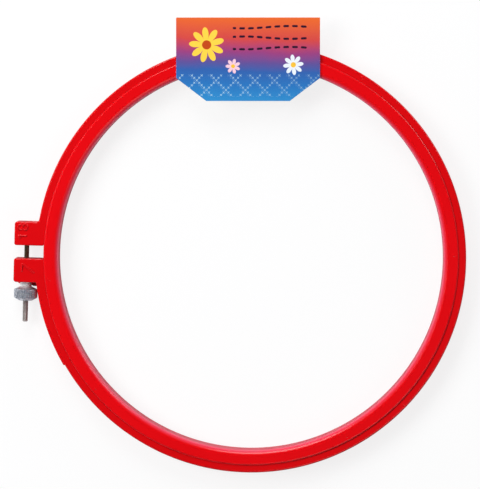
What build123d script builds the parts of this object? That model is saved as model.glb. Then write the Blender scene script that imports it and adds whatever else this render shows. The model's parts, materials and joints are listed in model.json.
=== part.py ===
from build123d import *
import math
import os

# A round plastic embroidery hoop: a plain inner ring inside a split outer ring, whose two lugs
# are drawn together by a screw, a washer and a knurled nut. A printed card is glued on the front.
# The hoop lies on its back. The origin is on the hoop's axis at the outer ring's rear face, +Z
# points out of the front, the lugs are on the -X side and the clamp screw runs along Y.
# All sizes are in millimetres and all angles in degrees.

# Inner ring: its outside diameter is the size that the hoop is sold by
hoop_diameter = 180.0
inner_ring_width = 6.5
inner_ring_front_step = 0.8
inner_ring_rear_step = 0.3
shoulder_chamfer = 0.8
comfort_round = 2.4
inner_rear_chamfer = 0.6

# Outer ring
ring_clearance = 0.15
outer_ring_width = 3.15
outer_ring_depth = 10.8
outer_edge_chamfer = 0.45
bore_edge_chamfer = 0.3
stiff_sector_extra = 0.5
stiff_sector_end_angle = 211.5
stiff_sector_overlap = 1.6

# Clamp lugs on the outer ring
lug_gap = 5.7
lug_reach = 9.5
upper_lug_height = 10.25
lower_lug_height = 10.35
lug_corner_round = 1.2
lug_mouth_round = 0.9
lug_root_round = 1.4

# Rear web that ties the lower lug to the ring behind the nut
web_clearance = 0.6
web_drop = 1.1
web_inset = 1.3
web_root_drop = 2.1
web_bend_offset = 1.3
web_root_offset = 1.5

# Clamp screw
screw_axis_reach = 4.4
screw_head_flats = 5.0
screw_head_height = 1.7
screw_head_sink = 0.2
screw_head_play = 0.1
screw_head_bevel = 0.3
screw_length = 41.8
shank_diameter = 2.1
thread_diameter = 2.5
thread_length = 24.0
tail_length = 8.6
tail_end_diameter = 2.4
tail_tip_chamfer = 0.3
screw_hole_diameter = 2.8

# Washer
washer_diameter = 5.2
washer_thickness = 0.5
washer_bore_play = 0.1
washer_edge_chamfer = 0.12
seat_gap = 0.05

# Knurled nut
nut_bore_play = 0.05
collar_diameter = 5.0
collar_length = 1.5
collar_chamfer = 0.25
flare_length = 1.1
head_diameter = 10.2
head_rim_length = 3.6
rim_bevel = 0.25
head_bottom_length = 1.4
head_bottom_diameter = 5.4
knurl_count = 40
knurl_depth = 0.22
knurl_groove_width = 0.5
bore_countersink = 0.25

# Printed card on the front of the inner ring, and the two dots of glue that hold it
card_width = 62.1
card_height = 36.0
card_thickness = 0.4
card_stand_above_ring = 10.9
card_side_shift = -1.15
card_turn = 1.6
card_corner_cut_width = 13.0
card_corner_cut_height = 9.9
glue_thickness = 0.25
glue_width = 1.8
glue_length = 9.0
glue_spacing = 34.0
glue_edge_margin = 0.7

# One overrun for every cut, so that no cutting face lies on the face it leaves
overrun = 1.0

hoop_radius = hoop_diameter / 2
window_radius = hoop_radius - inner_ring_width
inner_ring_front = outer_ring_depth + inner_ring_front_step
outer_bore_radius = hoop_radius + ring_clearance
outer_radius = outer_bore_radius + outer_ring_width
lug_face = outer_radius + lug_reach
screw_axis_x = -(outer_radius + screw_axis_reach)
screw_axis_z = outer_ring_depth / 2
upper_lug_top = lug_gap / 2 + upper_lug_height
lower_lug_bottom = -(lug_gap / 2 + lower_lug_height)
head_seat = upper_lug_top - screw_head_sink - screw_head_height
screw_tip = head_seat - screw_length
washer_top = lower_lug_bottom - seat_gap
nut_top = washer_top - washer_thickness - seat_gap
card_high_edge = outer_radius + card_stand_above_ring
card_low_edge = card_high_edge - card_height


def ring_body(inner, outer, rear, front):
    """A ring about Z as a rectangle in the XZ plane, before its corners are rounded."""
    width, depth = outer - inner, front - rear
    return Pos(inner + width / 2, rear + depth / 2) * Rectangle(width, depth)


def corner(sketch, x_end, y_end):
    """One corner of a rectangle: x_end and y_end are 0 for the low side and -1 for the high side."""
    return sketch.vertices().group_by(Axis.Y)[y_end].group_by(Axis.X)[x_end]


def inner_ring():
    """The plain inner ring, with a rounded shoulder in front and a deep round towards the window."""
    section = ring_body(window_radius, hoop_radius, inner_ring_rear_step, inner_ring_front)
    section = chamfer(corner(section, -1, -1), shoulder_chamfer)
    section = fillet(corner(section, 0, -1), comfort_round)
    section = chamfer(section.vertices().group_by(Axis.Y)[0], inner_rear_chamfer)
    return revolve(Plane.XZ * section, Axis.Z)


def lug_outline():
    """Both lugs and the ring's disc seen from the front, with the lug corners rounded."""
    height = upper_lug_top - lower_lug_bottom
    lugs = Pos(-lug_face / 2, lower_lug_bottom + height / 2) * Rectangle(lug_face, height)
    lugs = fillet(lugs.vertices().group_by(Axis.X)[0], lug_corner_round)
    outline = Circle(outer_radius) + lugs
    roots = [v for v in outline.vertices() if abs(v.center().length - outer_radius) < ring_clearance]
    return fillet(roots, lug_root_round)


def ring_plan():
    """The split ring and its lugs seen from the front, with the corners of the slot's mouth rounded."""
    reach = lug_face + overrun
    slot = Pos(-reach / 2, 0) * Rectangle(reach, lug_gap)
    plan = lug_outline() - Circle(outer_bore_radius) - slot
    mouth = plan.vertices().group_by(Axis.X)[0].sort_by(lambda v: abs(v.center().Y))[:2]
    return fillet(mouth, lug_mouth_round)


def outer_ring():
    """The split outer ring with its lugs, rear web, screw holes and the pocket for the screw head."""
    ring = extrude(ring_plan(), outer_ring_depth)
    ring = chamfer(outline_edges(ring, 0) + outline_edges(ring, -1), outer_edge_chamfer)
    ring += stiff_sector() + rear_web()
    ring -= Cylinder(outer_bore_radius, outer_ring_depth, align=(Align.CENTER, Align.CENTER, Align.MIN))
    ring -= bore_lead(0, bore_edge_chamfer) + bore_lead(outer_ring_depth, -bore_edge_chamfer)
    ring -= along_screw(upper_lug_top + overrun, lower_lug_bottom - web_root_drop, screw_hole_diameter / 2)
    ring -= head_prism(head_seat, upper_lug_top + overrun, screw_head_play)
    return ring


def outline_edges(ring, end):
    """The edges round the rear face, end 0, or the front face, end -1, without the bore's."""
    return [
        edge
        for edge in ring.edges().group_by(Axis.Z)[end]
        if edge.geom_type != GeomType.CIRCLE or abs(edge.radius - outer_bore_radius) > ring_clearance / 2
    ]


def bore_lead(face, step):
    """The cone that chamfers the bore's edge at one face."""
    low, high = sorted((face, face + step))
    radii = (0, bore_edge_chamfer) if step < 0 else (bore_edge_chamfer, 0)
    cone = Cone(
        outer_bore_radius + radii[0],
        outer_bore_radius + radii[1],
        high - low,
        align=(Align.CENTER, Align.CENTER, Align.MIN),
    )
    return Pos(0, 0, low) * cone


def stiff_sector():
    """The thicker stretch of wall below the lower lug, which ends in a small square step."""
    section = ring_body(
        outer_radius - stiff_sector_overlap, outer_radius + stiff_sector_extra, 0, outer_ring_depth
    )
    section = chamfer(section.vertices().group_by(Axis.X)[-1], outer_edge_chamfer)
    start = 180 + math.degrees(math.asin((-lower_lug_bottom - lug_corner_round) / outer_radius))
    sweep = stiff_sector_end_angle - start
    return Rot(0, 0, start) * revolve(Plane.XZ * section, Axis.Z, revolution_arc=sweep)


def rear_web():
    """The web at the rear of the lower lug, which drops behind the washer and joins the ring."""
    left = -lug_face + web_inset
    bend = screw_axis_x + web_bend_offset
    root = -outer_bore_radius - outer_ring_width / 2
    low = lower_lug_bottom - web_drop
    outline = make_face(
        Polyline(
            (left, lower_lug_bottom + lug_corner_round),
            (left, low),
            (bend, low),
            (-outer_radius - web_root_offset, lower_lug_bottom - web_root_drop),
            (root, lower_lug_bottom - web_root_drop),
            (root, lower_lug_bottom + lug_corner_round),
            close=True,
        )
    )
    return extrude(outline, screw_axis_z - washer_diameter / 2 - web_clearance)


def along_screw(start, end, radius):
    """A cylinder on the screw's axis from start down to end, both measured along Y."""
    middle = Pos(screw_axis_x, (start + end) / 2, screw_axis_z)
    return middle * Rot(90, 0, 0) * Cylinder(radius, start - end)


def head_prism(low, high, play):
    """A hexagonal prism on the screw's axis, with two flats facing the front and the rear."""
    apothem = screw_head_flats / 2 + play
    hexagon = RegularPolygon(apothem, 6, major_radius=False)
    return Pos(screw_axis_x, high, screw_axis_z) * Rot(90, 0, 0) * extrude(hexagon, high - low)


def turned(points):
    """A turned piece on the screw's axis, from its outline as (radius, place along Y) pairs."""
    outline = make_face(Polyline(*points, close=True))
    return Pos(screw_axis_x, 0, screw_axis_z) * revolve(outline, Axis.Y)


def clamp_screw():
    """The hexagon-headed screw: thin shank, rolled thread and a tail that narrows to its tip."""
    shank, thread, tip = shank_diameter / 2, thread_diameter / 2, tail_end_diameter / 2
    thread_start = screw_tip + thread_length
    tail_start = screw_tip + tail_length
    body = turned(
        [
            (0, head_seat),
            (shank, head_seat),
            (shank, thread_start + thread - shank),
            (thread, thread_start),
            (thread, tail_start),
            (tip, screw_tip + tail_tip_chamfer),
            (tip - tail_tip_chamfer, screw_tip),
            (0, screw_tip),
        ]
    )
    top = head_seat + screw_head_height
    flat = screw_head_flats / 2
    dome = turned(
        [
            (0, head_seat),
            (flat / math.cos(math.pi / 6), head_seat),
            (flat / math.cos(math.pi / 6), top - screw_head_bevel),
            (flat - screw_head_bevel, top),
            (0, top),
        ]
    )
    return body + (head_prism(head_seat, top, 0) & dome)


def washer():
    """The plain washer between the lower lug and the nut."""
    bottom = washer_top - washer_thickness
    edge, bore = washer_diameter / 2, thread_diameter / 2 + washer_bore_play
    return turned(
        [
            (bore, washer_top),
            (edge - washer_edge_chamfer, washer_top),
            (edge, washer_top - washer_edge_chamfer),
            (edge, bottom + washer_edge_chamfer),
            (edge - washer_edge_chamfer, bottom),
            (bore, bottom),
        ]
    )


def thumb_nut():
    """The nut: a collar that bears on the washer, a cone and a knurled head."""
    bore, collar, head = thread_diameter / 2 + nut_bore_play, collar_diameter / 2, head_diameter / 2
    flare_top = nut_top - collar_length
    rim_top = flare_top - flare_length
    rim_bottom = rim_top - head_rim_length
    bottom = rim_bottom - head_bottom_length
    blank = turned(
        [
            (bore + bore_countersink, nut_top),
            (collar - collar_chamfer, nut_top),
            (collar, nut_top - collar_chamfer),
            (collar, flare_top),
            (head - rim_bevel, rim_top),
            (head, rim_top - rim_bevel),
            (head, rim_bottom),
            (head_bottom_diameter / 2, bottom),
            (bore + bore_countersink, bottom),
            (bore, bottom + bore_countersink),
            (bore, nut_top - bore_countersink),
        ]
    )
    return blank - knurl_grooves(flare_top, bottom)


def knurl_grooves(high, low):
    """Straight V grooves all round the head, as one set of thin prisms along the axis."""
    head = head_diameter / 2
    groove = make_face(
        Polyline(
            (head - knurl_depth, 0),
            (head + knurl_depth, knurl_groove_width),
            (head + knurl_depth, -knurl_groove_width),
            close=True,
        )
    )
    ring = [Rot(0, 0, 360 * i / knurl_count) * groove for i in range(knurl_count)]
    prisms = [extrude(face, high - low) for face in ring]
    return Pos(screw_axis_x, high, screw_axis_z) * Rot(90, 0, 0) * Compound(children=prisms)


def header_card():
    """The flat card, with its two lower corners cut off at a slant."""
    half = card_width / 2
    outline = make_face(
        Polyline(
            (-half, card_high_edge),
            (half, card_high_edge),
            (half, card_low_edge + card_corner_cut_height),
            (half - card_corner_cut_width, card_low_edge),
            (card_corner_cut_width - half, card_low_edge),
            (-half, card_low_edge + card_corner_cut_height),
            close=True,
        )
    )
    back = inner_ring_front + glue_thickness
    return Pos(0, 0, back) * Rot(0, 0, card_turn) * Pos(card_side_shift, 0) * extrude(outline, card_thickness)


def glue_dots():
    """The two dots of glue between the inner ring's flat front band and the card."""
    band_outer = hoop_radius - shoulder_chamfer - glue_edge_margin
    dots = []
    for side in (1, -1):
        turn = math.degrees(math.asin(side * glue_spacing / 2 / hoop_radius))
        dot = SlotOverall(glue_length, glue_width)
        placed = Rot(0, 0, card_turn - turn) * Pos(0, band_outer - glue_width / 2) * dot
        dots.append(extrude(Pos(0, 0, inner_ring_front) * placed, glue_thickness))
    return dots


def save(name, *solids):
    """Writes one node's solids to its own file and prints its size."""
    whole = Compound(children=[s for shape in solids for s in shape.solids()])
    export_step(whole, f"parts/{name}.step")
    size = whole.bounding_box().size
    print(f"{name}: {len(whole.solids())} solids, {size.X:.2f} x {size.Y:.2f} x {size.Z:.2f} mm")


os.makedirs("parts", exist_ok=True)
save("outer_ring", outer_ring())
save("inner_ring", inner_ring())
save("clamp_screw", clamp_screw())
save("washer", washer())
save("thumb_nut", thumb_nut())
save("header_card", header_card())
save("glue_dots", *glue_dots())
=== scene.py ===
# %% [markdown]
# # An embroidery hoop
# A hoop stretches cloth between two plastic rings. The inner ring is closed. The outer ring is
# split, and a screw with a knurled nut draws its two lugs together. A printed card is glued on the
# front. The measured model gives the frame: every piece here is made in its coordinates, in
# metres, so nothing has to be fitted afterwards. The scene starts empty, loads that model and
# keeps its box.

# %% Load the measured model
import json
import math

import bmesh
import bpy
import numpy as np
from mathutils import Matrix

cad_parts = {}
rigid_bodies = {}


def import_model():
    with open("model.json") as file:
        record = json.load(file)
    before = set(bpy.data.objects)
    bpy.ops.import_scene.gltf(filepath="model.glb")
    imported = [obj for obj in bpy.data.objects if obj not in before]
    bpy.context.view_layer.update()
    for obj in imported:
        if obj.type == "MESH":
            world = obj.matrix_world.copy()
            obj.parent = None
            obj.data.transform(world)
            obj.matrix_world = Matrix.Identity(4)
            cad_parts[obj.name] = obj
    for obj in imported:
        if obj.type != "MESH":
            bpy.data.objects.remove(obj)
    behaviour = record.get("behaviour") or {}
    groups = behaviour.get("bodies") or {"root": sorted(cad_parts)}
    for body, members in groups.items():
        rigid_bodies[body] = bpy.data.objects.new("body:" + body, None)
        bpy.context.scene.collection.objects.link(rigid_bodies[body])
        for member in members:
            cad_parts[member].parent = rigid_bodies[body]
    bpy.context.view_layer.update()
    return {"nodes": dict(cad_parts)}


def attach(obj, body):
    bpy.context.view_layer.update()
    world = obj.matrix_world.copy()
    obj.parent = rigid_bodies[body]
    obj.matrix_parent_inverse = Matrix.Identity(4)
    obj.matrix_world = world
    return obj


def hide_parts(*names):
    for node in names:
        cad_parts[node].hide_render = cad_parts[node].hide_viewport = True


for leftover in list(bpy.data.objects):
    bpy.data.objects.remove(leftover)
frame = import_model()
print("nodes:", sorted(frame["nodes"]))

# %% [markdown]
# ## Sizes
# The sizes are those of the measured model, in millimetres, so that they read like a drawing. The
# bore is drawn closer to the inner ring than there, as in a hoop that is clamped tight. Each piece
# is worked out in millimetres too, and the one function that makes a mesh turns them into metres.
# Z points out of the hoop's front, Y to its top, and the lugs are on the -X side.

# %% Sizes of the pieces
MM = 0.001
TURN = 2 * math.pi
window_radius, hoop_radius = 83.5, 90.0
ring_rear, ring_front = 0.3, 11.6
bore_radius, outer_radius, outer_depth = 90.02, 93.3, 10.8
lug_face, lug_top, lug_bottom, half_gap = 102.8, 13.1, -13.2, 2.85
axis_x, axis_z = -97.7, 5.4
head_top, head_seat, screw_tip = 12.9, 11.2, -30.6
shank_radius, thread_radius, hole_radius = 1.05, 1.25, 1.4
head_half_width, pocket_half_width = 2.5, 2.6
washer_top = lug_bottom - 0.05
nut_top = washer_top - 0.55
card_width, card_height, card_low = 62.1, 36.0, 68.2
card_rear, card_front = 11.85, 12.25
card_turn = math.radians(1.6)
print("overall width of the rings and lugs:", lug_face + outer_radius, "mm")

# %% [markdown]
# ## From formula to mesh
# A piece is a surface: a grid of points that a formula gives for two parameters, worked out as
# whole arrays. Modelling each one by hand with extrusions would work too, but a formula can be
# read, checked and changed like a drawing's dimensions. Grids that close on themselves need no
# caps, and rows that shrink to one point are merged into a pole.

# %% Mesh from points and faces
def mesh_piece(name, points, quads, caps=(), crease=32.0):
    """A closed mesh from points in millimetres. Doubles are merged, faces are turned outwards, and
    edges that bend by more than the crease angle, in degrees, stay sharp in the shading."""
    mesh = bpy.data.meshes.new(name)
    mesh.from_pydata((points * MM).tolist(), [], quads.tolist() + [list(cap) for cap in caps])
    work = bmesh.new()
    work.from_mesh(mesh)
    bmesh.ops.remove_doubles(work, verts=work.verts, dist=1e-7)
    bmesh.ops.recalc_face_normals(work, faces=work.faces)
    open_edges = sum(not edge.is_manifold for edge in work.edges)
    work.to_mesh(mesh)
    work.free()
    shade(mesh, crease)
    piece = bpy.data.objects.new(name, mesh)
    bpy.context.scene.collection.objects.link(piece)
    print(f"{name}: {len(mesh.polygons)} faces, {open_edges} open edges")
    return piece


def shade(mesh, crease):
    """Smooth shading over the whole mesh, with edges past the crease angle left sharp."""
    mesh.polygons.foreach_set("use_smooth", np.ones(len(mesh.polygons), bool))
    mesh.set_sharp_from_angle(angle=math.radians(crease))


def grid_faces(rows, columns, wrap_rows=False):
    """The four corners of each face of a grid whose last column meets its first."""
    index = np.arange(rows * columns).reshape(rows, columns)
    index = np.hstack((index, index[:, :1]))
    if wrap_rows:
        index = np.vstack((index, index[:1]))
    corners = (index[:-1, :-1], index[:-1, 1:], index[1:, 1:], index[1:, :-1])
    return np.stack(corners, axis=-1).reshape(-1, 4)


# %% [markdown]
# ## Rounded outlines
# Moulded plastic and turned metal have no sharp corners: every edge catches a thin highlight. So
# an outline is given by its corners and a radius for each, as on a drawing, and one function puts
# the arcs in. It also adds a point just before and after each arc. Those keep the flats flat in
# smooth shading, which a Bevel modifier would need weighted normals for.

# %% Rounded outlines and profiles
def unit(vectors):
    """Each vector divided by its length."""
    return vectors / np.linalg.norm(vectors, axis=-1, keepdims=True)


def rounded(corners, radii, steps=7, closed=True, guard=0.12):
    """An outline whose corners are arcs. An arc's centre lies on the corner's bisector, at its
    radius over the sine of half the corner's angle, and the arc's points are the turning mean of
    its two end spokes. Guard points lie that far before and after each arc. An open outline keeps
    its first and last corner only as directions."""
    corner, radius = np.asarray(corners, float), np.asarray(radii, float)
    back = unit(np.roll(corner, 1, 0) - corner)
    ahead = unit(np.roll(corner, -1, 0) - corner)
    if not closed:
        corner, back, ahead = corner[1:-1], back[1:-1], ahead[1:-1]
    half = np.arccos(np.clip((back * ahead).sum(-1), -1, 1)) / 2
    centre = corner + unit(back + ahead) * (radius / np.sin(half))[:, None]
    reach = (radius / np.tan(half))[:, None]
    spokes = corner + back * reach - centre, corner + ahead * reach - centre
    sweep = (math.pi - 2 * half)[:, None]
    share = np.linspace(0, 1, steps)
    weights = [np.sin(s * sweep) / np.sin(sweep) for s in (1 - share, share)]
    arcs = sum(spoke[:, None] * weight[..., None] for spoke, weight in zip(spokes, weights))
    before = (corner + back * (reach + guard))[:, None]
    after = (corner + ahead * (reach + guard))[:, None]
    return np.concatenate((before, arcs + centre[:, None], after), axis=1).reshape(-1, 2)


def circle_arc(radius, start, end, count):
    """Points on a circle round the hoop's axis, evenly from one angle to another."""
    angle = np.linspace(start, end, count)
    return radius * np.stack((np.cos(angle), np.sin(angle)), axis=-1)


# %% Surfaces of revolution about the hoop's axis and about the screw's
def turned(name, radius, along, columns, about_screw=True, wrap_rows=False, crease=32.0):
    """A surface of revolution, or one whose radius also changes with the angle. A row is a ring of
    points at its place along the axis; row i and column j lie at radius[i, j] and angle j."""
    angle = np.linspace(0, TURN, columns, endpoint=False)
    radius = np.broadcast_to(radius, (len(along), columns))
    level = np.broadcast_to(np.asarray(along)[:, None], radius.shape)
    first, second = radius * np.cos(angle), radius * np.sin(angle)
    if about_screw:
        points = np.stack((axis_x + first, level, axis_z + second), axis=-1)
    else:
        points = np.stack((first, second, level), axis=-1)
    faces = grid_faces(len(along), columns, wrap_rows)
    return mesh_piece(name, points.reshape(-1, 3), faces, crease=crease)


# %% [markdown]
# ## The inner ring
# The inner ring is the part that the cloth lies on. Seen from the front it is a flat band, with a
# rounded shoulder outside and a deep round towards the window, so that the cloth isn't cut. It is
# a plain surface of revolution: one closed profile, carried round the hoop's axis in 720 steps.

# %% Inner ring
profile = rounded(
    [
        (window_radius, ring_rear), (hoop_radius, ring_rear),
        (hoop_radius, ring_front), (window_radius, ring_front),
    ],
    [0.55, 0.55, 0.8, 2.4],
    steps=12,
)
inner = turned(
    "inner_hoop", profile[:, :1], profile[:, 1], 720, about_screw=False, wrap_rows=True
)

# %% [markdown]
# ## A slab with rounded edges
# The outer ring, its web and the card are flat shapes with a thickness. Such a slab is its outline
# repeated at several heights: near the front and the rear the outline shrinks along a quarter
# circle, which rounds the edge. The two flat faces are single polygons with many corners.

# %% Slab with rounded edges
def slab_points(outline, low, high, round_off, steps=6):
    """Rows of the outline from the rear face to the front face. At each end the row moves inwards
    along the outline's own normal by the round times one minus the sine of the angle, while its
    height moves by the round times one minus the cosine. The end rows lie a little further in, as
    a guard that keeps the faces flat. The round may differ along the outline."""
    guard = 1.15
    round_off = np.broadcast_to(round_off, len(outline))
    ahead = unit(np.roll(outline, -1, 0) - outline)
    tangent = unit(ahead + np.roll(ahead, 1, 0))
    inward = np.stack((-tangent[:, 1], tangent[:, 0]), axis=-1)
    angle = np.linspace(0, math.pi / 2, steps)
    inset = np.append(guard, 1 - np.sin(angle))[:, None] * round_off
    rise = np.append(0, 1 - np.cos(angle))[:, None] * round_off
    inset = np.concatenate((inset, inset[::-1]))
    level = np.concatenate((low + rise, high - rise[::-1]))
    flat = outline[None] + inward[None] * inset[..., None]
    return np.concatenate((flat, level[..., None]), axis=-1)


def slab(name, outline, low, high, round_off, steps=6):
    """A closed slab from a counter-clockwise outline, with both of its rims rounded."""
    rows = slab_points(outline, low, high, round_off, steps)
    count = len(outline)
    first_row = np.arange(count)[::-1]
    last_row = np.arange(count) + (len(rows) - 1) * count
    quads = grid_faces(len(rows), count)
    return mesh_piece(name, rows.reshape(-1, 3), quads, caps=(first_row, last_row))


def combine(piece, other, operation):
    """Joins a closed mesh to a piece, or cuts it out of the piece, and keeps only the result."""
    step = piece.modifiers.new("step", "BOOLEAN")
    step.operation, step.object, step.solver = operation, other, "EXACT"
    bpy.context.view_layer.update()
    graph = bpy.context.evaluated_depsgraph_get()
    result = bpy.data.meshes.new_from_object(piece.evaluated_get(graph))
    piece.modifiers.clear()
    piece.data = result
    bpy.data.objects.remove(other)
    print(f"{piece.name}: {len(result.polygons)} faces after {operation.lower()}")


# %% [markdown]
# ## The outer ring
# The outer ring is a band that is split at the left, with a lug on each side of the slot. Its
# outline runs once round the outside, in at the slot, back round the bore and out again. The
# lugs are square blocks whose corners are rounded, and their roots run into the band in a small
# fillet. Below the lower lug the wall is half a millimetre thicker, and at the rear a web ties
# that lug to the band. Those two are slabs of their own, joined on with a Boolean.

# %% Outline of the split ring
def lug_corners(sign, edge):
    """One lug from the band to the bore: root, two outer corners and the slot's inner corner.
    Sign is 1 for the upper lug and -1 for the lower one, whose far edge is at that height."""
    root = np.array((-math.sqrt(outer_radius**2 - edge**2), edge))
    mouth = np.array((-math.sqrt(bore_radius**2 - half_gap**2), sign * half_gap))
    along_band = unit(np.array((root[1], -root[0]))) * sign
    along_bore = unit(np.array((mouth[1], -mouth[0]))) * sign
    far = 5
    corners = [
        root + along_band * far, root, (-lug_face, edge),
        (-lug_face, sign * half_gap), mouth, mouth + along_bore * far,
    ]
    return rounded(corners, [1.4, 1.2, 0.9, 0.7], steps=9, closed=False, guard=0.05)


def polar(point):
    """The angle of a point round the hoop's axis, from 0 to a full turn."""
    return math.atan2(point[1], point[0]) % TURN


upper, lower = lug_corners(1, lug_top), lug_corners(-1, lug_bottom)[::-1]
outside = circle_arc(outer_radius, polar(lower[-1]), polar(upper[0]) + TURN, 902)[1:-1]
inside = circle_arc(bore_radius, polar(upper[-1]) + TURN, polar(lower[0]), 902)[1:-1]
outline = np.concatenate((outside, upper, inside, lower))

# %% Rounds along the outline: wide on the rim, narrow on the lugs and almost sharp at the bore
edge_round, bore_round, rim_round = 0.45, 0.04, 0.75
at_mouth, at_root = 11, 30
last = len(outside) + 1
along_rim = np.interp(
    np.arange(len(outside)),
    [0, at_root, last - at_root, last],
    [edge_round, rim_round, rim_round, edge_round],
)
along_lug = np.full(len(upper) - at_mouth, edge_round)
along_lug = np.append(along_lug, np.linspace(edge_round, bore_round, at_mouth))
along_bore = np.full(len(inside), bore_round)
rounds = np.concatenate((along_rim, along_lug, along_bore, along_lug[::-1]))
print("outline of the split ring:", len(outline), "points")

# %% Band, stiff stretch and web
outer = slab("outer_hoop", outline, 0, outer_depth, rounds)

sunk = 0.02
stiff_start, stiff_end = math.radians(187.8), math.radians(211.5)
stiff_outside, stiff_inside = outer_radius + 0.5, outer_radius - 1.6
stiff_arc = circle_arc(stiff_outside, stiff_start, stiff_end, 60)
stiff_foot = stiff_arc[-1] * stiff_inside / stiff_outside
stiff_corner = rounded(
    [stiff_arc[-2], stiff_arc[-1], stiff_foot], [edge_round], closed=False, guard=0.06
)
stiff_back = circle_arc(stiff_inside, stiff_end, stiff_start, 40)
stretch = np.concatenate((stiff_arc[:-2], stiff_corner, stiff_back))
combine(outer, slab("stiff_stretch", stretch, sunk, outer_depth - sunk, 0.35), "UNION")

web_top, web_low, web_root = lug_bottom + 1.2, lug_bottom - 1.1, lug_bottom - 2.1
web_left, web_bend, web_foot, web_right, web_depth = -101.5, -96.4, -94.8, -91.7, 2.2
web_outline = rounded(
    [
        (web_left, web_top), (web_left, web_low), (web_bend, web_low),
        (web_foot, web_root), (web_right, web_root), (web_right, web_top),
    ],
    [0.6, 0.7, 0.9, 0.9, 0.5, 0.5],
    guard=0.06,
)
combine(outer, slab("web", web_outline, sunk, web_depth, 0.3), "UNION")

# %% [markdown]
# ## The screw's hole and pocket
# The screw's hexagon head sits in a pocket of the upper lug, so that the screw can't turn with the
# nut. The hole and the pocket are one cutter: a turned shape whose radius is limited by a hexagon.
# Boring and then broaching with two cutters would give the same walls with one Boolean more.

# %% Hole and pocket
screw_angle = np.linspace(0, TURN, 72, endpoint=False)
no_limit = 9.0


def within_hexagon(limit, half_width):
    """Radii of rows with these limits, cut by a regular hexagon with sides to the front and rear.
    A side lies at the half width over the cosine of the angle from that side's middle."""
    from_middle = (screw_angle - math.pi / 2 + math.pi / 6) % (math.pi / 3) - math.pi / 6
    return np.minimum(limit[:, None], (half_width / np.cos(from_middle))[None])


above_lug, below_lug, mouth_radius, exit_radius = 14.5, lug_bottom - 2.5, 2.0, 1.7
limit, along = np.array(
    [
        (0, above_lug), (no_limit, above_lug), (no_limit, 13.3), (no_limit, 12.8),
        (no_limit, head_seat), (hole_radius, head_seat), (hole_radius, half_gap + 0.3),
        (mouth_radius, half_gap - 0.1), (mouth_radius, 0.1 - half_gap),
        (hole_radius, -half_gap - 0.3), (hole_radius, lug_bottom + 0.3),
        (exit_radius, lug_bottom - 0.1), (exit_radius, below_lug), (0, below_lug),
    ]
).T
pocket = within_hexagon(limit, pocket_half_width)
combine(outer, turned("screw_hole", pocket, along, len(screw_angle)), "DIFFERENCE")
shade(outer.data, 30)
outer.modifiers.new("even_normals", "WEIGHTED_NORMAL").keep_sharp = True

# %% [markdown]
# ## Numerals on the lugs
# The hoop's size stands on its lugs in raised strokes, which the mould maker cuts with a round
# tool: the size in centimetres above, the size in inches below. A stroke is a half ellipse
# carried along a path, and its open ends are round. A text object would have square edges.

# %% Raised strokes
def stroke(name, path, width, height, closed, root=0.1):
    """A raised stroke on the lugs' front face, with a shallow root in it. Its section is a half
    ellipse, as wide and high as the stroke. Near an open end it shrinks like the height of a
    circle whose radius is half the stroke's width, so that the end is round."""
    if closed:
        tangent = unit(np.roll(path, -1, 0) - np.roll(path, 1, 0))
        fullness = np.ones(len(path))
    else:
        tangent = unit(np.gradient(path, axis=0))
        run = np.append(0, np.cumsum(np.linalg.norm(np.diff(path, axis=0), axis=1)))
        to_end = np.minimum(run, run[-1] - run) / (width / 2)
        fullness = np.sqrt(1 - (1 - np.minimum(to_end, 1)) ** 2)
    side = np.stack((-tangent[:, 1], tangent[:, 0]), axis=-1)
    angle = np.linspace(0, TURN, 16, endpoint=False)
    across = np.cos(angle)[None] * fullness[:, None] * width / 2
    rise = np.sin(angle)
    up = np.where(rise > 0, rise * height, rise * root)[None] * fullness[:, None]
    flat = path[:, None] + side[:, None] * across[..., None]
    points = np.concatenate((flat, (outer_depth + up)[..., None]), axis=-1)
    quads = grid_faces(len(path), len(angle), wrap_rows=closed)
    return mesh_piece(name, points.reshape(-1, 3), quads, crease=60)


def on_lug(points, start, letter_height):
    """Turns strokes written upright, in letter heights, to run up the lug: their tops face -X."""
    points = points * letter_height
    return np.stack((start[0] - points[:, 1], start[1] + points[:, 0]), axis=-1)


def polyline(corners, radius):
    """Straight strokes joined by round corners, with many points on each."""
    ends = np.asarray(corners, float)
    middle = rounded(ends, [radius] * (len(ends) - 2), closed=False, guard=0.02)
    ends = np.concatenate((ends[:1], middle, ends[-1:]))
    run = np.append(0, np.cumsum(np.linalg.norm(np.diff(ends, axis=0), axis=1)))
    place = np.linspace(0, run[-1], 60)
    return np.stack([np.interp(place, run, ends[:, k]) for k in (0, 1)], axis=-1)


def oval(middle, half_width, half_height):
    """A closed path round an ellipse."""
    loop = np.linspace(0, TURN, 64, endpoint=False)
    across, up = half_width * np.cos(loop), half_height * np.sin(loop)
    return np.stack((middle[0] + across, middle[1] + up), axis=-1)


stroke_width, stroke_height = 0.9, 0.42
above, below = ((-97.25, 6.2), 3.85), ((-93.75, -8.65), 5.45)
figures = [
    (polyline([(-0.1, 0.72), (0.22, 1.0), (0.22, 0.0)], 0.03), above, False),
    (oval((1.2, 0.26), 0.33, 0.26), above, True),
    (oval((1.2, 0.77), 0.27, 0.23), above, True),
    (polyline([(0.0, 1.0), (0.66, 1.0), (-0.07, 0.0)], 0.04), below, False),
]
strokes = [
    stroke(f"size_stroke_{number}", on_lug(path, *line), stroke_width, stroke_height, closed)
    for number, (path, line, closed) in enumerate(figures, 1)
]

# %% [markdown]
# ## Marks of the mould
# Each ring was pushed out of its mould by round pins, and its plastic ran in through a small gate.
# Both leave discs that stand a few hundredths of a millimetre above the face. They are low domes,
# which a bump in the material could only suggest.

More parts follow.
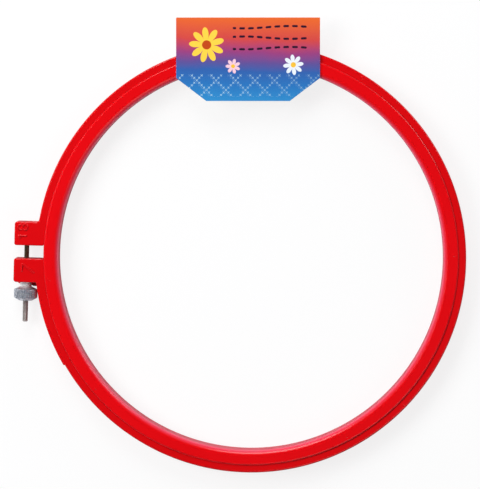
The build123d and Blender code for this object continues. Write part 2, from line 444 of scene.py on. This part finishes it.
# %% Pin marks and gate marks
def pin_mark(name, face, angle, distance, radius, height=0.07, root=0.05):
    """A low dome with a root in a front face: its height falls with the fourth power of the
    distance from its middle."""
    share = np.linspace(1, 0, 7)
    rows = np.append((0, radius), share * radius)
    level = np.append((face - root, face - root), face + height * (1 - share**4))
    turn = np.linspace(0, TURN, 32, endpoint=False)
    x = distance * math.cos(angle) + rows[:, None] * np.cos(turn)
    y = distance * math.sin(angle) + rows[:, None] * np.sin(turn)
    points = np.stack((x, y, np.broadcast_to(level[:, None], x.shape)), axis=-1)
    return mesh_piece(name, points.reshape(-1, 3), grid_faces(*x.shape), crease=50)


def pin_marks(name, face, marks):
    """A mark for each (degrees, distance from the hoop's axis, radius)."""
    return [
        pin_mark(f"{name}_{i}", face, math.radians(degrees), distance, radius)
        for i, (degrees, distance, radius) in enumerate(marks)
    ]


inner_marks = pin_marks(
    "inner_mark",
    ring_front,
    [(187.6, 88.0, 0.75), (2.6, 87.8, 0.75), (221.6, 88.2, 0.6), (300, 87.9, 0.6)],
)
outer_marks = pin_marks(
    "outer_mark", outer_depth, [(107.0, 91.7, 0.8), (60.0, 91.7, 0.6), (318.0, 91.7, 0.6)]
)

# %% [markdown]
# ## The screw
# The clamp screw has a hexagon head, a thin shank and a rolled thread that runs out of its far
# end. The thread is real geometry: the radius falls with a triangle wave of the place along the
# screw, and the wave's phase advances by one pitch for each turn, which makes the helix.

# %% Clamp screw
def smooth_step(value, low, high):
    """0 below low, 1 above high, and the cubic between them."""
    share = np.clip((value - low) / (high - low), 0, 1)
    return share**2 * (3 - 2 * share)


pitch, thread_depth, thread_length = 0.45, 0.2, 24.0
tail_length, tail_taper = 8.6, 0.05
thread_start = screw_tip + thread_length
head = np.array(
    [
        (0, head_top), (2.2, head_top), (2.38, head_top - 0.02), (2.9, head_top - 0.3),
        (no_limit, head_top - 0.31), (no_limit, head_top - 0.5),
        (no_limit, head_seat + 0.15), (no_limit, head_seat + 0.06),
        (2.8, head_seat), (1.3, head_seat), (1.15, head_seat - 0.05),
        (shank_radius, head_seat - 0.2), (shank_radius, thread_start + 1.4),
    ]
)
along_thread = np.arange(thread_start + 1.3, screw_tip + 0.3, -pitch / 9)
swell = smooth_step(-along_thread, -thread_start - 0.9, -thread_start + 0.2)
crest = shank_radius + (thread_radius - shank_radius) * swell
down_tail = (screw_tip + tail_length - along_thread) / (tail_length - 0.3)
crest -= tail_taper * np.clip(down_tail, 0, 1)
tip = np.array(
    [(1.08, screw_tip + 0.25), (0.9, screw_tip + 0.05), (0.8, screw_tip), (0, screw_tip)]
)
limit = np.concatenate((head[:, 0], crest, tip[:, 0]))
along = np.concatenate((head[:, 1], along_thread, tip[:, 1]))
phase = (along[:, None] / pitch + screw_angle[None] / TURN) % 1
wave = np.clip(np.abs(2 * phase - 1) * 1.25 - 0.1, 0, 1)
runs_in = smooth_step(-along, -thread_start - 0.8, -thread_start + 0.2)
runs_out = smooth_step(along, screw_tip + 0.1, screw_tip + 0.7)
thread = thread_depth * (runs_in * runs_out)[:, None] * wave
radius = within_hexagon(limit, head_half_width) - thread
screw = turned("clamp_screw_threaded", radius, along, len(screw_angle), crease=40)

# %% [markdown]
# ## Washer and knurled nut
# The washer is a punched disc with one rounded edge. The nut is turned from bar: a collar that
# bears on the washer, a cone, and a head whose straight knurling gives the fingers a grip. A
# knurl tool presses grooves in, so the radius falls by a V wherever the angle comes near one of
# forty lines, but only along the head.

# %% Washer
washer_hole, washer_radius, washer_depth = 1.35, 2.6, 0.5
washer_profile = rounded(
    [
        (washer_hole, -washer_depth), (washer_radius, -washer_depth),
        (washer_radius, 0), (washer_hole, 0),
    ],
    [0.08, 0.18, 0.1, 0.06],
    steps=5,
    guard=0.02,
)
washer_along = washer_top + washer_profile[:, 1]
washer = turned("plain_washer", washer_profile[:, :1], washer_along, 96, wrap_rows=True)

# %% Knurled nut
knurls, knurl_depth, knurl_half_width, columns_per_knurl = 40, 0.22, 0.3, 12
nut_bore, collar_radius, head_radius, nut_length = 1.3, 2.5, 5.1, 7.6
nut_profile = rounded(
    [
        (nut_bore, 0), (collar_radius, 0), (collar_radius, -1.5), (4.85, -2.6),
        (head_radius, -2.85), (head_radius, -6.2), (4.82, -6.52),
        (2.8, -nut_length), (nut_bore, -nut_length),
    ],
    [0.2, 0.2, 0.35, 0.2, 0.12, 0.2, 0.3, 0.5, 0.25],
    steps=6,
    guard=0.03,
)
along_rim = np.linspace(-3.0, -6.1, 24)
rim_start = np.argmax(nut_profile[:, 1] < along_rim[0])
rim = np.stack((np.full(len(along_rim), head_radius), along_rim), axis=-1)
nut_profile = np.insert(nut_profile, rim_start, rim, axis=0)
columns = knurls * columns_per_knurl
angle = np.linspace(0, TURN, columns, endpoint=False)
turns_to_groove = np.abs((angle * knurls / TURN + 0.5) % 1 - 0.5) / knurls
groove = np.clip(1 - turns_to_groove * TURN * head_radius / knurl_half_width, 0, 1)
on_head = smooth_step(nut_profile[:, 0], 4.2, 4.95)
nut_radius = nut_profile[:, :1] - knurl_depth * on_head[:, None] * groove[None]
nut_along = nut_top + nut_profile[:, 1]
nut = turned("knurled_nut", nut_radius, nut_along, columns, wrap_rows=True, crease=28)

# %% [markdown]
# ## The card and its glue
# The card is stiff board, 0.4 mm thick, with its two lower corners cut off. It hangs a little
# crooked. Its print needs a map that follows the card, so each corner of each face gets a UV place
# in card widths and heights, worked out before the card is turned. Two flat dots of glue hold it.

# %% Card
def turn_about_axis(points, turn):
    """Points turned about the hoop's axis."""
    cos, sin = math.cos(turn), math.sin(turn)
    x, y = points[:, 0], points[:, 1]
    return np.stack((x * cos - y * sin, x * sin + y * cos), axis=-1)


half_card, card_shift, cut_width, cut_height = card_width / 2, -1.15, 13.0, 9.9
cut_top, card_top = card_low + cut_height, card_low + card_height
card_corners = [
    (-half_card, cut_top), (-half_card + cut_width, card_low), (half_card - cut_width, card_low),
    (half_card, cut_top), (half_card, card_top), (-half_card, card_top),
]
card_flat = rounded(card_corners, [0.3] * 6, steps=5, guard=0.05) + (card_shift, 0)
card_outline = turn_about_axis(card_flat, card_turn)
card = slab("printed_card", card_outline, card_rear, card_front, 0.06, steps=4)


def map_card(piece):
    """Gives each face corner its place on the card, from 0 to 1 across and up."""
    mesh = piece.data
    place = np.empty(len(mesh.vertices) * 3)
    mesh.vertices.foreach_get("co", place)
    flat = turn_about_axis(place.reshape(-1, 3)[:, :2] / MM, -card_turn)
    corner = np.empty(len(mesh.loops), int)
    mesh.loops.foreach_get("vertex_index", corner)
    share = (flat - (card_shift - half_card, card_low)) / (card_width, card_height)
    mesh.uv_layers.new(name="print").data.foreach_set("uv", share[corner].ravel())


map_card(card)

# %% Glue dots
def glue_dot(name, turn):
    """A squeezed drop: an ellipse whose half widths swell and shrink with the angle."""
    distance, half_length, half_width = 87.6, 4.3, 0.85
    around = np.linspace(0, TURN, 96, endpoint=False)
    swell = 1 + 0.05 * np.sin(3 * around + turn * 40) + 0.03 * np.sin(7 * around)
    across, up = half_length * swell * np.cos(around), half_width * swell * np.sin(around)
    flat = np.stack((across, distance + up), axis=-1)
    return slab(name, turn_about_axis(flat, turn), ring_front, card_rear, 0.11, steps=4)


glue_turn = math.asin(17.0 / hoop_radius)
glue = [glue_dot(f"glue_dot_{i}", card_turn + side * glue_turn) for i, side in enumerate((1, -1))]

# %% [markdown]
# ## Writing a finish as sums
# A finish is a tree of shader nodes. Wiring it by hand hides the idea, so one small class wraps a
# node's output and turns Python's operators into Math nodes. One more method makes any other node:
# its settings come first, then what each socket gets.

# %% Shader sums
def operator(operation, reflected=False):
    """A method that adds a Math node, with its own channel first, or last if it's reflected."""

    def method(self, *others):
        values = (*others, self) if reflected else (self, *others)
        return self.finish.node("ShaderNodeMath", {"operation": operation}, dict(enumerate(values)))

    return method


class Channel:
    """A node's output that can stand in a sum. Each operator adds one Math node."""

    def __init__(self, finish, socket):
        self.finish, self.socket = finish, socket

    __add__, __radd__ = operator("ADD"), operator("ADD", True)
    __sub__, __rsub__ = operator("SUBTRACT"), operator("SUBTRACT", True)
    __mul__, __rmul__ = operator("MULTIPLY"), operator("MULTIPLY", True)
    __truediv__, __mod__ = operator("DIVIDE"), operator("FLOORED_MODULO")
    __pow__, __abs__ = operator("POWER"), operator("ABSOLUTE")
    sine, floor, polar_angle = operator("SINE"), operator("FLOOR"), operator("ARCTAN2")
    at_most, at_least = operator("MINIMUM"), operator("MAXIMUM")

    def output(self, name):
        """Another output of the same node."""
        return Channel(self.finish, self.socket.node.outputs[name])

    def below(self, limit, soft):
        """1 where this is under the limit, 0 where it is over, with a soft edge that wide."""
        return ((limit - self) / soft + 0.5).clamp()

    def clamp(self):
        """This, held between 0 and 1."""
        return self.at_most(1.0).at_least(0.0)


class Finish:
    """A tree of shader nodes, for a material or for the world."""

    def __init__(self, owner):
        owner.use_nodes = True
        self.tree = owner.node_tree
        self.tree.nodes.clear()

    def node(self, kind, settings=None, values=None, out=0):
        """Makes a node of this kind. Settings go first; a ramp's stops are (place, colour) pairs.
        Then each socket, by name or number, gets a number, a colour or another node's output."""
        made = self.tree.nodes.new(kind)
        for name, setting in (settings or {}).items():
            if name == "stops":
                self.set_stops(made.color_ramp, setting)
            else:
                setattr(made, name, setting)
        for name, value in (values or {}).items():
            if isinstance(value, Channel):
                self.tree.links.new(value.socket, made.inputs[name])
            else:
                made.inputs[name].default_value = value
        return Channel(self, made.outputs[out]) if made.outputs else None

    @staticmethod
    def set_stops(ramp, stops):
        """Gives a ramp these stops and no others."""
        while len(ramp.elements) < len(stops):
            ramp.elements.new(0.5)
        for element, (place, tint) in zip(ramp.elements, stops):
            element.position, element.color = place, tint

    def place(self):
        """Where a point lies on its object, in metres, which is also its place on the hoop."""
        return self.node("ShaderNodeTexCoord", out="Object")

    def noise(self, where, scale, detail=2.0, roughness=0.5):
        """Soft noise from 0 to 1, with that many features to the metre."""
        values = {"Vector": where, "Scale": scale, "Detail": detail, "Roughness": roughness}
        return self.node("ShaderNodeTexNoise", {}, values)

    def stretched(self, where, scale):
        """The place with each axis multiplied by its own number."""
        return self.node("ShaderNodeVectorMath", {"operation": "MULTIPLY"}, {0: where, 1: scale})

    def parts(self, vector):
        """The three numbers of a vector."""
        x = self.node("ShaderNodeSeparateXYZ", {}, {"Vector": vector})
        return x, x.output("Y"), x.output("Z")

    def flatness(self):
        """1 on a face that looks to the front or rear, and 0 on an upright wall."""
        return abs(self.parts(self.node("ShaderNodeTexCoord", out="Normal"))[2])

    def mix(self, factor, first, second):
        """The first colour where the factor is 0 and the second where it is 1."""
        values = {0: factor, 6: first, 7: second}
        return self.node("ShaderNodeMix", {"data_type": "RGBA"}, values, out=2)

    def bump(self, height, strength, distance):
        """A normal that follows a height map, for relief finer than the mesh."""
        values = {"Strength": strength, "Distance": distance, "Height": height}
        return self.node("ShaderNodeBump", {}, values)

    def surface(self, **sockets):
        """The Principled shader and the output, with socket names written with underscores."""
        values = {name.replace("_", " "): value for name, value in sockets.items()}
        shader = self.node("ShaderNodeBsdfPrincipled", {}, values)
        self.node("ShaderNodeOutputMaterial", {}, {"Surface": shader})


def new_finish(name):
    """A new material, the finish that fills it and the place on the object."""
    material = bpy.data.materials.new(name)
    finish = Finish(material)
    return material, finish, finish.place()


def colour(red, green, blue):
    """A colour written as on a screen, from 0 to 255, in the linear values that shaders use."""
    share = np.array((red, green, blue)) / 255
    linear = np.where(share <= 0.04045, share / 12.92, ((share + 0.055) / 1.055) ** 2.4)
    return (*linear.tolist(), 1.0)


print("red of the inner ring, as a shader sees it:", colour(221, 4, 11))

# %% [markdown]
# ## Glossy moulded plastic
# The rings are bright red polystyrene. Its colour is dense and almost even, with slow streaks where
# the melt ran round the mould. The skin is glossy with a faint orange peel, and handling leaves
# hair-fine rubs that change the gloss more than the colour. The walls scraped along the mould, so
# they are duller. Painted shade darkens the outer walls, most where they stand upright, and a
# painted pink reflection of the white table lies on the walls round the window. The outer ring's
# reds are darker than the inner ring's, as painted shade. A single red would look like paint.

# %% Ring plastic
def ring_plastic(name, dark, light):
    """Red plastic between two reds: slow flow streaks in the colour, rubs in the gloss, orange peel
    in the bump. The walls, which slid along the mould, are rougher. Their colour carries painted
    shade outside, darkest where they stand upright, and a painted pink reflection of the white
    table towards the window."""
    material, finish, place = new_finish(name)
    x, y, _ = finish.parts(place)
    from_axis = (x * x + y * y) ** 0.5 / MM
    flow = finish.noise(place, 22.0, 3.0, 0.55)
    fine = finish.noise(place, 420.0, 2.0, 0.5)
    base = finish.mix(flow.clamp(), dark, light)
    base = finish.mix(fine * 0.12, base, colour(238, 14, 22))
    flatness = finish.flatness()
    wall, upright = flatness.below(0.75, 0.45), flatness.below(0.15, 0.3)
    inside = from_axis.below(87.0, 2.0)
    # Painted light on the walls: painted shade outside, and a painted pink reflection of the white
    # table towards the window.
    side = finish.mix(inside, colour(160, 0, 16), colour(228, 80, 112))
    # Further painted shade where the walls stand upright.
    side = finish.mix(upright * 0.7, side, colour(140, 10, 44))
    base = finish.mix(wall * (0.3 + inside * 0.4), base, side)
    rubs = finish.noise(place, 1600.0, 4.0, 0.7).below(0.4, 0.12)
    roughness = 0.13 + flow * 0.05 + rubs * 0.06 + wall * 0.16 + upright * 0.2
    peel = finish.noise(place, 700.0, 2.0, 0.5)
    finish.surface(
        Base_Color=base,
        Roughness=roughness,
        Normal=finish.bump(peel, 0.1, 0.00012),
        IOR=1.5,
        Specular_IOR_Level=0.42,
    )
    return material


inner_red = ring_plastic("inner_ring_plastic", colour(221, 4, 11), colour(232, 7, 16))
# Painted shade: the outer ring's reds are set darker than the inner ring's.
outer_red_shaded = ring_plastic("outer_ring_plastic", colour(208, 4, 9), colour(221, 7, 14))

# %% [markdown]
# ## Metals
# The screw is drawn steel with fine lines along it, bare at its tail and brownish towards the head,
# over the stretch between the lugs. Painted shade darkens its thread's root and its flanks. The
# nut is nickel plated: cool, bright and speckled, and rougher in its grooves. Painted shade
# darkens its grooves and flanks, and a painted highlight whitens its collar. Plain metal would
# only mirror the white table.

# %% Screw steel and nut plating
def radius_from_screw(finish, place):
    """Distance from the screw's axis, in millimetres."""
    x, _, z = finish.parts(place)
    across, depth = x / MM - axis_x, z / MM - axis_z
    return (across * across + depth * depth) ** 0.5


def screw_steel():
    """Steel with a film by noise, brown towards the head, and with lines along the screw. Painted
    shade darkens the thread's root and the flanks."""
    material, finish, place = new_finish("steel_brown_toward_head")
    film = finish.noise(place, 260.0, 4.0, 0.6)
    lines = finish.noise(finish.stretched(place, (1.0, 0.05, 1.0)), 5200.0, 2.0, 0.5)
    root = radius_from_screw(finish, place).below(1.1, 0.14)
    _, along, _ = finish.parts(place)
    # Browner and more metallic towards the head, over the stretch between the lugs.
    brown_toward_head = 1 - (along / MM).below(-8.0, 14.0)
    clean = finish.mix(film.clamp(), colour(240, 230, 226), colour(196, 182, 174))
    base = finish.mix(brown_toward_head, clean, colour(140, 126, 96))
    # Painted shade in the thread's root.
    base = finish.mix(root * 0.5, base, colour(52, 42, 34))
    # Painted shade on the flanks, the faces that turn away from the hoop's front.
    base = finish.mix(finish.flatness().below(0.5, 0.5) * 0.75, base, colour(66, 56, 48))
    finish.surface(
        Base_Color=base,
        Metallic=0.7 + brown_toward_head * 0.25,
        Roughness=0.34 + film * 0.16 + root * 0.1,
        Normal=finish.bump(lines, 0.12, 0.00004),
    )
    return material


def nut_plating():
    """Nickel plating with speckles and turning lines round the nut. Its grooves are rougher,
    painted shade darkens the grooves and flanks, and a painted highlight whitens the collar."""
    material, finish, place = new_finish("nickel_plating")
    radius = radius_from_screw(finish, place)
    _, along, _ = finish.parts(place)
    tarnish = finish.noise(place, 900.0, 4.0, 0.7)
    groove = radius.below(4.9, 0.12) * (1 - radius.below(4.6, 0.1))
    speckle = ((tarnish - 0.5) * 2.4 + 0.5).clamp()
    base = finish.mix(speckle, colour(246, 248, 252), colour(158, 168, 186))
    # Painted shade in the knurl's grooves.
    base = finish.mix(groove * 0.5, base, colour(100, 102, 110))
    # Painted shade on the flanks, the faces that turn away from the hoop's front.
    base = finish.mix(finish.flatness().below(0.45, 0.5) * 0.55, base, colour(96, 98, 110))
    # Painted highlight: the collar is made near white and less metallic.
    painted_collar_highlight = 1 - (along / MM).below(nut_top - 2.0, 0.8)
    base = finish.mix(painted_collar_highlight * 0.7, base, colour(250, 249, 247))
    tool_lines = (along / MM * 60.0 + tarnish * 6.0).sine()
    finish.surface(
        Base_Color=base,
        Metallic=0.8 - painted_collar_highlight * 0.45,
        Roughness=0.22 + speckle * 0.2 + groove * 0.2,
        Normal=finish.bump(tool_lines + tarnish, 0.1, 0.00003),
    )
    return material


steel, nickel = screw_steel(), nut_plating()

# %% [markdown]
# ## The printed card
# The print is drawn by sums on the card's own map, in millimetres from its lower left corner. A
# warm to cool blend fills the sheet. On it lie needlework motifs: daisies with pointed petals, rows
# of running stitch and a band of cross-stitch. A motif is a mask, 1 inside and 0 outside, worked
# out from distances. The weave of an evenly woven cloth tints everything, as if the card were
# cloth. The back and the edges are bare board.

# %% Motifs of the print
def daisy(across, up, centre, size, petals, turn):
    """Masks of a flower and its eye. The petals' edge lies at the size times a share, which rises
    from 0.34 to 1 as the sine of half the petals' number times the angle leaves 0."""
    dx, dy = across - centre[0], up - centre[1]
    distance = (dx * dx + dy * dy) ** 0.5
    lobe = (dy.polar_angle(dx) * petals / 2 + turn).sine()
    edge = size * (0.34 + 0.66 * abs(lobe) ** 0.7)
    return (distance - edge).below(0.0, 0.22), distance.below(size * 0.26, 0.2)


def running_stitch(across, up, height, swing, start, end, dash=2.5, gap=1.3, width=0.95):
    """Dashes along a gentle sine curve, each with round ends."""
    curve = up - height - swing * (across * 0.16).sine()
    from_middle = abs(across % (dash + gap) - (dash + gap) / 2)
    over_end = (from_middle - (dash - width) / 2).at_least(0.0)
    distance = (over_end * over_end + curve * curve) ** 0.5
    within = across.below(end, 0.1) * (1 - across.below(start, 0.1))
    return distance.below(width / 2, 0.16) * within


def cross_stitch(across, up, cell, low, high):
    """Small crosses in diamonds: a cell is filled where its two counts give an open lattice."""
    across, height = across / cell, up / cell
    column, row = across.floor(), height.floor()
    fx, fy = across - column - 0.5, height - row - 0.5
    cross = abs(fx - fy).at_most(abs(fx + fy)).below(0.13, 0.08)
    inside = abs(fx).at_least(abs(fy)).below(0.42, 0.05)
    lattice = abs(abs((column + 0.1) % 8 - 4) - abs((row + 0.1) % 8 - 4)).below(0.7, 0.3)
    band = up.below(high, 0.1) * (1 - up.below(low, 0.1))
    return cross * inside * lattice * band


# %% Card finish
def card_finish():
    """Glossy print in front, bare board behind and on the edges."""
    material, finish, place = new_finish("printed_board")
    _, _, depth = finish.parts(place)
    uv = finish.node("ShaderNodeUVMap", {"uv_map": "print"})
    across, up, _ = finish.parts(finish.stretched(uv, (card_width, card_height, 0.0)))
    drift = finish.noise(place, 60.0, 3.0, 0.6)
    height = (up / card_height + (drift - 0.5) * 0.1 + (across / card_width - 0.5) * 0.05).clamp()
    stops = [
        (0.0, colour(20, 138, 204)),
        (0.2, colour(4, 112, 188)),
        (0.36, colour(24, 92, 172)),
        (0.46, colour(88, 72, 150)),
        (0.58, colour(150, 52, 124)),
        (0.74, colour(212, 62, 60)),
        (1.0, colour(236, 100, 26)),
    ]
    blend = finish.node("ShaderNodeValToRGB", {"stops": stops}, {"Fac": height})
    thread_spacing = 0.5
    warp, weft = (across * (TURN / thread_spacing)).sine(), (up * (TURN / thread_spacing)).sine()
    weave = (warp * weft * 0.5 + 0.5).clamp()
    sheet = finish.mix(weave * 0.05, blend, colour(255, 236, 214))
    lattice = cross_stitch(across, up, 1.05, 1.9, 11.6) * (1 - across / card_width * 0.55)
    sheet = finish.mix(lattice * 0.85, sheet, colour(196, 232, 244))
    flowers = [
        ((13.2, 24.2), 7.6, 9, 0.3, colour(255, 214, 74), colour(196, 74, 24)),
        ((50.6, 15.6), 4.4, 8, 1.1, colour(236, 244, 250), colour(250, 196, 60)),
        ((24.6, 15.0), 3.2, 7, 0.0, colour(250, 206, 220), colour(250, 196, 60)),
    ]
    for row, swing in ((31.8, 0.5), (27.3, -0.5), (22.8, 0.5)):
        stitches = running_stitch(across, up, row, swing, 24.5, 57.5)
        sheet = finish.mix(stitches, sheet, colour(38, 20, 44))
    for centre, size, petals, turn, petal, eye in flowers:
        flower, middle = daisy(across, up, centre, size, petals, turn)
        sheet = finish.mix(flower, sheet, petal)
        sheet = finish.mix(middle, sheet, eye)
    fibres = finish.noise(finish.stretched(place, (1.0, 1.0, 0.2)), 2400.0, 4.0, 0.7)
    board = finish.mix(fibres.clamp(), colour(206, 200, 188), colour(232, 228, 220))
    printed = 1 - (depth / MM).below(card_front - 0.02, 0.01)
    finish.surface(
        Base_Color=finish.mix(printed, board, sheet),
        Roughness=0.62 - printed * 0.34 + fibres * 0.06,
        Normal=finish.bump(fibres + weave * printed * 0.4, 0.12, 0.00005),
        Specular_IOR_Level=0.4,
    )
    return material


def glue_finish():
    """Dried glue: cloudy amber, glossy, with faint bubbles."""
    material, finish, place = new_finish("dried_glue")
    cloud = finish.noise(place, 700.0, 3.0, 0.6)
    finish.surface(
        Base_Color=finish.mix(cloud.clamp(), colour(214, 206, 178), colour(238, 232, 212)),
        Roughness=0.25 + cloud * 0.2,
        Normal=finish.bump(cloud, 0.2, 0.00005),
    )
    return material


# %% Give each piece its finish and its body
def dress(piece, material, body):
    """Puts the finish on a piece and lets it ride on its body."""
    piece.data.materials.clear()
    piece.data.materials.append(material)
    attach(piece, body)


dress(outer, outer_red_shaded, "outer")
dress(inner, inner_red, "inner")
for mark in strokes + outer_marks:
    dress(mark, outer_red_shaded, "outer")
for mark in inner_marks:
    dress(mark, inner_red, "inner")
dress(screw, steel, "outer")
dress(washer, nickel, "washer")
dress(nut, nickel, "nut")
dress(card, card_finish(), "inner")
glued = glue_finish()
for dot in glue:
    dress(dot, glued, "inner")
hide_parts("outer_ring")
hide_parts("inner_ring")
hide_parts("clamp_screw")
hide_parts("washer")
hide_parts("thumb_nut")
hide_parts("header_card")
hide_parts("glue_dots")

# %% [markdown]
# ## Floor, light and camera
# The hoop lies on a white table. The table looks white to the eye and in reflections through the
# Light Path node, and a share of plain white paint keeps the soft shadow. The room is pale near
# the horizon and dark overhead, where the camera is, so that the glossy faces stay deep red. A
# broad lamp beyond the top edge and a weak one from below give the shoulders their light. A third
# brightens the left side without showing in the gloss, and a low one from the right grazes the
# window's wall. The camera stands nearly square over the hoop, 1.4 m away and tilted a little.

# %% Floor
floor_size = 3000.0
floor_corners = np.array([(-1, -1, 0), (1, -1, 0), (1, 1, 0), (-1, 1, 0)]) * floor_size
floor_mesh = bpy.data.meshes.new("table")
floor_mesh.from_pydata(((floor_corners - (0, 0, 0.05)) * MM).tolist(), [], [(0, 1, 2, 3)])
floor = bpy.data.objects.new("table", floor_mesh)
bpy.context.scene.collection.objects.link(floor)
paint = bpy.data.materials.new("table_paint")
finish = Finish(paint)
ray = finish.node("ShaderNodeLightPath", out="Is Camera Ray")
mirrored = ray.output("Is Glossy Ray").at_least(ray.output("Is Transmission Ray"))
seen = (ray * 0.82).at_least(mirrored * 0.15)
diffuse = finish.node("ShaderNodeBsdfDiffuse", {}, {"Color": (0.94, 0.94, 0.94, 1)})
plain = finish.node("ShaderNodeEmission", {}, {"Color": (1, 1, 1, 1), "Strength": 1.0})
mixed = finish.node("ShaderNodeMixShader", {}, {0: seen, 1: diffuse, 2: plain})
finish.node("ShaderNodeOutputMaterial", {}, {"Surface": mixed})
floor_mesh.materials.append(paint)

# %% World
world = bpy.data.worlds.new("room")
bpy.context.scene.world = world
finish = Finish(world)
_, _, up = finish.parts(finish.node("ShaderNodeTexCoord", out="Generated"))
room = finish.mix((up * 1.5).clamp(), (0.4, 0.43, 0.5, 1), (0.05, 0.05, 0.06, 1))
air = finish.node("ShaderNodeBackground", {}, {"Color": room, "Strength": 1.0})
finish.node("ShaderNodeOutputWorld", {}, {"Surface": air})


# %% Lamps
def stand(holder, place, back, up):
    """Sets a lamp or camera at a place in metres. It looks away from the back direction, and its
    right is the cross product of up and back."""
    right = unit(np.cross(up, back))
    axes = np.stack((right, np.cross(back, right), back, place), axis=1)
    holder.matrix_world = Matrix(np.vstack((axes, (0, 0, 0, 1))).tolist())
    bpy.context.scene.collection.objects.link(holder)


def lamp(name, place, size, power, mirrored=True):
    """A square soft box that faces the hoop's middle. One that isn't mirrored shows in no gloss."""
    light = bpy.data.lights.new(name, "AREA")
    light.shape, light.size, light.energy = "SQUARE", size, power
    holder = bpy.data.objects.new(name, light)
    holder.visible_glossy = mirrored
    stand(holder, place, unit(np.array(place)), (0, 0, 1))


lamp("key_from_top", (-0.3, 1.25, 1.1), 0.9, 14.7)
lamp("wash_from_left", (-0.85, 0.25, 1.0), 0.7, 12.3, mirrored=False)
lamp("fill_from_below", (0.5, -0.9, 1.5), 1.0, 3.5)
lamp("edge_from_right", (0.85, 0.7, 0.3), 0.5, 3.0)

# %% Camera
distance, picture_width, sensor_width = 1.4, 211.7, 36.0
middle = turn_about_axis(np.array([(-4.62, 6.14)]), card_turn)[0] * MM
tilt_up, tilt_right = math.radians(3.14), math.radians(1.32)
toward = unit(np.array([math.sin(tilt_right), math.sin(tilt_up), 1.0]))
toward[:2] = turn_about_axis(toward[None, :2], card_turn)[0]
up_photo = np.array([-math.sin(card_turn), math.cos(card_turn), 0.0])
camera_data = bpy.data.cameras.new("photo_camera")
camera_data.sensor_width = sensor_width
camera_data.lens = sensor_width * distance / (picture_width * MM)
camera_data.clip_start, camera_data.clip_end = 0.05, 20.0
camera = bpy.data.objects.new("photo_camera", camera_data)
stand(camera, np.append(middle, ring_front * MM) + toward * distance, toward, up_photo)
bpy.context.scene.camera = camera
bpy.context.scene.view_settings.view_transform = "Standard"
